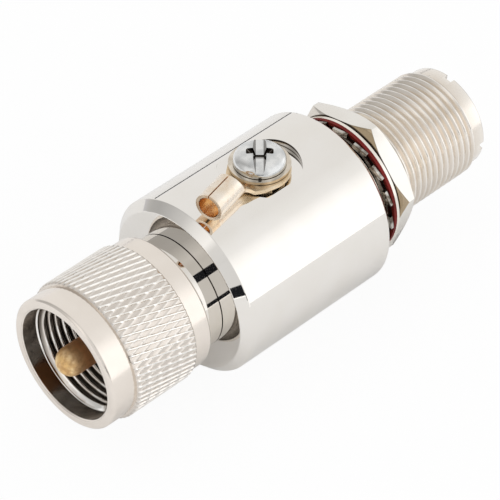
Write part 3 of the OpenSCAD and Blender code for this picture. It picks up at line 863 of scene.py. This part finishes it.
# ring terminal, rolled from one sheet
terminal = {"centre": (-12.65, -0.42), "turn": 193.3, "seat": 12.206, "sheet": 0.45, "ring": 4.15,
    "hole": 2.75, "flat": 3.0, "rampEnd": 5.4, "rise": 0.614, "tangent": (1.66, 3.80), "neckEnd": 5.6,
    "neck": 2.0, "rollStart": 4.7, "joint": 6.2, "reach": 12.0, "barrel": 1.93, "cutTop": 7.3,
    "slant": 20, "seam": 0.065, "edge": 0.06, "across": 24, "neckColumns": 10, "ringRows": 18,
    "neckRows": 30, "barrelRows": 40, "holeSides": 96, "endBare": 0.2, "lip": 1.6, "lipDrop": 0.9,
    "lipShade": 0.6, "tanFade": 0.8}


def makeTerminal(d):
    t = d["sheet"]
    radius = d["barrel"] - t/2
    full = math.pi*radius - d["seam"]
    inner, across = d["neckColumns"], d["across"]  # each side of the middle; the inner form ring and neck
    joint = d["joint"]
    xs = [-d["ring"]*math.cos(turn) for turn in span(0, math.pi/2, d["ringRows"])[:-1]]
    xs += span(0, joint, d["neckRows"]) + span(joint, d["reach"], d["barrelRows"])[1:]

    def halfNeck(x):
        if x < d["tangent"][0]:
            return math.sqrt(max(0, d["ring"]**2 - x*x))
        share = bound((x - d["tangent"][0])/(d["neckEnd"] - d["tangent"][0]))
        return d["tangent"][1] + (d["neck"] - d["tangent"][1])*share

    def placed(x, arc, roll):
        rise = d["rise"]*eased((x - d["flat"])/(d["rampEnd"] - d["flat"]))
        base = d["seat"] + t/2 + rise
        if roll < 1e-4:
            return x, arc, base
        curve = roll/radius
        return x, math.sin(arc*curve)/curve, base + (1 - math.cos(arc*curve))/curve

    bm = bmesh.new()
    bmesh.ops.create_grid(bm, x_segments=len(xs) - 1, y_segments=2*across, size=0.5)
    spare = []
    for v in bm.verts:
        i = round((v.co.x + 0.5)*(len(xs) - 1))
        j = round((v.co.y + 0.5)*2*across) - across
        x = xs[i]
        side, k = (1 if j > 0 else -1), abs(j)
        neck = halfNeck(x)
        if k <= inner:
            arc = neck*k/inner
        else:
            arc = d["neck"] + (full - d["neck"])*(k - inner)/(across - inner)
        roll = eased((x - d["rollStart"])/(joint - d["rollStart"]))
        if k > inner:
            # the barrel's inner end is cut on a slant, from the neck up to its open top
            height = -math.cos(arc/radius)*radius
            start = d["cutTop"] + (height - d["barrel"])*math.tan(math.radians(d["slant"]))
            x = max(x, min(start, d["reach"])) if x < d["cutTop"] + 0.2 else x
            roll = 1.0
            if xs[i] < joint - 1e-6:
                spare.append(v)
        v.co = [c*mm for c in placed(x, side*arc, roll)]
    bmesh.ops.delete(bm, geom=spare, context="VERTS")
    bmesh.ops.remove_doubles(bm, verts=bm.verts, dist=4e-6)
    bmesh.ops.recalc_face_normals(bm, faces=bm.faces)
    made = toObject(bm, "rolledTerminal")
    wall = made.modifiers.new("wall", "SOLIDIFY")
    wall.thickness = t*mm
    wall.offset = 0
    wall.use_even_offset = True
    bake(made)
    bm = bmesh.new()
    bmesh.ops.create_cone(bm, cap_ends=True, segments=d["holeSides"], radius1=d["hole"]*mm,
        radius2=d["hole"]*mm, depth=4*mm)
    bmesh.ops.translate(bm, verts=bm.verts, vec=(0, 0, d["seat"]*mm))
    cutAway(made, toObject(bm, "cutter"))
    bevel = made.modifiers.new("edge", "BEVEL")
    bevel.width = d["edge"]*mm
    bevel.segments = 2
    bevel.limit_method = "ANGLE"
    bevel.angle_limit = math.radians(50)
    bake(made)
    axisZ = d["seat"] + d["rise"] + d["barrel"]

    # copper inside the barrel and on its cut end; the lip under the barrel's mouth is painted shade in
    # copper colour
    def copperAndLipShade(c):
        out = math.hypot(c.y, c.z - axisZ)
        if c.x > d["reach"] - 0.03:
            return d["endBare"]
        if c.x > d["reach"] - d["lip"] and c.z < axisZ - d["lipDrop"]:
            return d["lipShade"]
        return 1.0 if c.x > d["neckEnd"] and out < radius - 0.12 else 0.0

    markPoints(made, "copperAndShade", copperAndLipShade)
    markPoints(made, "tan", lambda c: bound((joint - c.x)/d["tanFade"]))
    made.data.transform(Matrix.Rotation(math.radians(d["turn"]), 4, "Z"))
    made.data.transform(Matrix.Translation((d["centre"][0]*mm, d["centre"][1]*mm, 0)))
    shadeSmooth(made, 40)
    dress(made, finishes["tin"], "terminal", "tinned_copper", "ring_terminal")


makeTerminal(terminal)


# lock nut and star washer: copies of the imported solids, with edges broken and faces marked
def mergedCopy(nodeName, name):
    made = bpy.data.objects.new(name, nodes[nodeName].data.copy())
    bpy.context.scene.collection.objects.link(made)
    bm = bmesh.new()
    bm.from_mesh(made.data)
    bmesh.ops.remove_doubles(bm, verts=bm.verts, dist=1e-6)
    bmesh.ops.dissolve_limit(bm, angle_limit=math.radians(1.5), verts=bm.verts, edges=bm.edges)
    return made, bm


nut = {"edge": 0.09, "sharp": 24, "farSide": 4, "frontTan": 1.0, "farTan": 0.25}


def makeNut(d):
    made, bm = mergedCopy("lock_nut", "lockNutEdged")
    least = math.radians(d["sharp"])
    sharp = [e for e in bm.edges if len(e.link_faces) == 2 and e.calc_face_angle(0) > least]
    bmesh.ops.bevel(bm, geom=sharp, offset=d["edge"]*mm, offset_type="OFFSET", affect="EDGES", segments=2,
        profile=0.5, material=-1, clamp_overlap=True)
    bm.to_mesh(made.data)
    bm.free()

    # painted reflection: the front faces tinted tan by the brass-coloured stack, weaker on the far side
    def frontFaces(c, n):
        if n.x > -0.4:
            return 0.0
        return d["frontTan"] if c.y < d["farSide"] else d["farTan"]

    markFaces(made, "tan", frontFaces)
    shadeSmooth(made, 25)
    dress(made, finishes["nut"], "nut", "satin_nickel", "lock_nut")


makeNut(nut)


starWasher = {"toothEnd": 9.7, "body": 9.0, "endShade": 0.4, "sideShade": 0.9, "bodyShade": 0.75,
    "toothShade": 0.45}


def makeStarWasher(d):
    made, bm = mergedCopy("star_washer", "starWasherMarked")
    bm.to_mesh(made.data)
    bm.free()

    # painted shade: the teeth's sides darkest, the washer's body and teeth darker, the tooth ends least
    def recess(c, n):
        out = Vector((0, c.y, c.z - paintedShadePlaces["drop"]))
        if out.length > d["toothEnd"] and n.dot(out.normalized()) > 0.7:
            return d["endShade"]
        if abs(n.x) < 0.5:
            return d["sideShade"]
        return d["bodyShade"] if out.length < d["body"] else d["toothShade"]

    markFaces(made, "paintedShade", recess)
    shadeSmooth(made, 25)
    dress(made, finishes["teeth"], "washers", "satin_nickel", "star_washer")


makeStarWasher(starWasher)


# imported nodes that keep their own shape
kept = {"male_shell": "ring", "male_insulator": "brown", "inner_conductor": "brass",
    "female_insulator": "brown", "female_contact": "brass", "ring_clip": "brass", "flat_washer": "washer",
    "gasket": "red", "screw_washer": "zincWasher", "ground_star_washer": "washer",
    "gas_tube": "ceramic", "tube_electrodes": "barrel", "contact_spring": "brass", "tube_cap": "ring",
    "cap_seal": "black"}
for nodeName, key in kept.items():
    packed = nodes[nodeName]
    if not packed.material_slots:
        packed.data.materials.append(finishes[key])
    for place in packed.material_slots:
        place.material = finishes[key]
print("finishes on packed nodes:", len(kept))


# studio: a pale floor with a bright front edge and a dark gap behind it, and two dark cards that
# the mirror finish shows; the cards' places are given in degrees or as a direction, sizes in mm
studio = {"floor": -12.75, "floorFront": -121, "floorBack": 350, "floorSide": 700, "floorTone": 0.77,
    "whiteShare": 0.94, "glossyShare": 0.06, "edgeHeight": 3, "edgeGlow": 1.35, "gapStart": 164,
    "gapHeight": 14, "gapTone": (0.02, 0.02, 0.02), "cardTone": (0.012, 0.013, 0.016),
    "highCard": (-0.517, -0.532, 0.670), "highCardFar": 560, "highCardAcross": (0, 0.783, 0.622),
    "highCardSize": (62, 45), "lowCard": ((62, -5.5), (62, 0.5), (33, 5), (33, -8)), "lowCardFar": 420}


def plainSheet(name, corners, material, camera=True):
    bm = bmesh.new()
    bm.faces.new([bm.verts.new([c*mm for c in corner]) for corner in corners])
    made = toObject(bm, name)
    made.data.materials.append(material)
    made.visible_camera = camera
    made.visible_shadow = False
    made.visible_diffuse = camera
    return made


def glow(name, colour, strength=1):
    f = Finish(name)
    return f.surface(f.node("Emission", {}, {"Color": (*colour, 1), "Strength": strength}))


def floorFinish(d):
    # white to the camera, and a lit pale sheet to everything else
    tone = d["floorTone"]
    f = Finish("paleFloor", Roughness=1.0, Base_Color=(tone, tone, tone, 1), Specular_IOR_Level=0)
    seen, glossy, through = f.rays()
    white = f.node("Emission", {}, {"Color": (1, 1, 1, 1), "Strength": 1})
    share = (seen + through + glossy*d["glossyShare"])*d["whiteShare"]
    pale = Wire(f.tree, f.shader.outputs[0])
    return f.surface(f.node("MixShader", {}, {0: share, 1: pale, 2: white}))


def makeStudio(d):
    z, side = d["floor"], d["floorSide"]
    front, back = d["floorFront"], d["floorBack"]
    plainSheet("floor", [(-side, front, z), (side, front, z), (side, back, z), (-side, back, z)],
        floorFinish(d))
    top = z + d["edgeHeight"]
    plainSheet("floorFrontEdge", [(-side, front, z), (side, front, z), (side, front, top),
        (-side, front, top)], glow("brightEdge", (1, 1, 1), d["edgeGlow"]), False)
    start, top = d["gapStart"], z + d["gapHeight"]
    plainSheet("floorBackGap", [(start, back, z), (side, back, z), (side, back, top),
        (start, back, top)], glow("darkGap", d["gapTone"]), False)
    dark = glow("darkCard", d["cardTone"])

    def aim(fromFront, height):
        # fromFront turns from -X towards -Y, height rises from the horizon, both in degrees
        a, e, far = math.radians(fromFront), math.radians(height), d["lowCardFar"]
        return (-math.cos(a)*math.cos(e)*far, -math.sin(a)*math.cos(e)*far, math.sin(e)*far)

    near = Vector(d["highCard"])*d["highCardFar"]
    across = Vector(d["highCardAcross"])
    along = near.normalized().cross(across)
    wide, high = d["highCardSize"]
    plainSheet("darkCardHigh", [tuple(near + across*a*wide + along*b*high)
        for a, b in ((-1, -1), (1, -1), (1, 1), (-1, 1))], dark, False)
    plainSheet("darkCardLow", [aim(*corner) for corner in d["lowCard"]], dark, False)


makeStudio(studio)


# the surround: plain for the light, and for reflections a tone that changes round the X axis, in
# degrees from straight up towards -Y, and along X, from -1 at the front to 1 at the rear
surround = {"level": 0.9,
    "tone": ((-180, (0.78, 0.78, 0.80)), (-110, (0.90, 0.90, 0.97)), (-96, (0.93, 0.93, 0.99)),
        (-88, (0.88, 0.875, 0.865)), (14, (0.865, 0.86, 0.85)), (30, (0.93, 0.93, 0.925)),
        (45, (1, 1, 1)), (100, (1, 1, 1)), (112, (0.97, 0.965, 0.96)), (170, (0.8, 0.8, 0.8))),
    "lift": ((36, 0.0), (58, 1.0), (96, 1.0), (104, 0.0)), "liftAlong": ((0.25, 0.0), (0.5, 1.0)),
    "liftBy": 0.25, "side": ((0.28, 0.76), (0.45, 0.9), (0.6, 1.0)),
    "ahead": ((-60, 0.5), (-30, 1.0), (0, 1.0), (14, 0.3), (40, 0.0)),
    "aheadAlong": ((0.45, 0.0), (0.62, 0.8), (0.74, 1.0)), "aheadBy": 0.6,
    "behindAlong": ((0.0, 0.0), (0.35, 1.0)), "behindAcross": ((0.0, 0.0), (0.5, 1.0)), "behindBy": 0.32}


def makeWorld(d):
    world = bpy.data.worlds.new("studioWorld")
    bpy.context.scene.world = world
    world.use_nodes = True
    world.node_tree.nodes.clear()
    f = NodeTree(world.node_tree)
    x, y, z = f.split(f.node("TexCoord", output=0))
    toFront, along = x*-1, x*0.5 + 0.5
    angle = y.step("ARCTAN2", y*-1, z)/(2*math.pi) + 0.5

    def byDegrees(stops):
        return f.ramp(angle, *[((degrees + 180)/360, value) for degrees, value in stops])

    lift = byDegrees(d["lift"])*f.ramp(along, *d["liftAlong"])
    behind = f.ramp(toFront, *d["behindAlong"])*f.ramp(y, *d["behindAcross"])
    ahead = f.ramp(toFront, *d["aheadAlong"])*byDegrees(d["ahead"])
    level = (1 + lift*d["liftBy"])*f.ramp(along, *d["side"])
    level = level*(1 - behind*d["behindBy"])*(1 + ahead*d["aheadBy"])
    mirror = f.node("Background", {}, {"Color": byDegrees(d["tone"]), "Strength": level})
    plain = f.node("Background", {}, {"Color": (1, 1, 1, 1), "Strength": d["level"]})
    white = f.node("Background", {}, {"Color": (1, 1, 1, 1), "Strength": 1})
    seen, glossy, through = f.rays()
    lit = f.node("MixShader", {}, {0: glossy, 1: plain, 2: mirror})
    shown = f.node("MixShader", {}, {0: seen + through, 1: lit, 2: white})
    out = f.tree.nodes.new("ShaderNodeOutputWorld")
    f.tree.links.new(shown.socket, out.inputs["Surface"])


makeWorld(surround)


# two soft lamps, each with its place in m and its power
lamps = {"softLampSide": ((0.15, -0.65, 0.35), 1.6), "softLampTop": ((-0.1, 0.2, 0.8), 1.2)}
lampAim = Vector((-0.01, 0, 0))
lampSize = 0.5


def softLamp(name, place, power):
    data = bpy.data.lights.new(name, "AREA")
    data.shape = "SQUARE"
    data.size = lampSize
    data.energy = power
    lamp = bpy.data.objects.new(name, data)
    bpy.context.scene.collection.objects.link(lamp)
    lamp.location = place
    lamp.rotation_euler = (lampAim - Vector(place)).to_track_quat("-Z", "Y").to_euler()
    lamp.visible_glossy = False
    lamp.visible_camera = False


for lampName, (lampPlace, lampPower) in lamps.items():
    softLamp(lampName, lampPlace, lampPower)


# the photograph's camera: its place in mm, and its turn as the rows of a matrix
view = {"lens": 212.34, "sensor": 36, "place": (-214.616, -204.562, 261.471),
    "turn": ((0.715547, 0.470522, -0.516335), (-0.698559, 0.484912, -0.526189),
        (0.002794, 0.737204, 0.675665)), "near": 0.01, "far": 20}


def makeCamera(d):
    data = bpy.data.cameras.new("photoCamera")
    data.lens = d["lens"]
    data.sensor_width = d["sensor"]
    data.clip_start = d["near"]
    data.clip_end = d["far"]
    made = bpy.data.objects.new("photoCamera", data)
    bpy.context.scene.collection.objects.link(made)
    made.location = Vector(d["place"])*mm
    made.rotation_euler = Matrix(d["turn"]).to_euler()
    bpy.context.scene.camera = made


makeCamera(view)
bpy.context.scene.view_settings.view_transform = "Standard"
print("studio and camera ready")
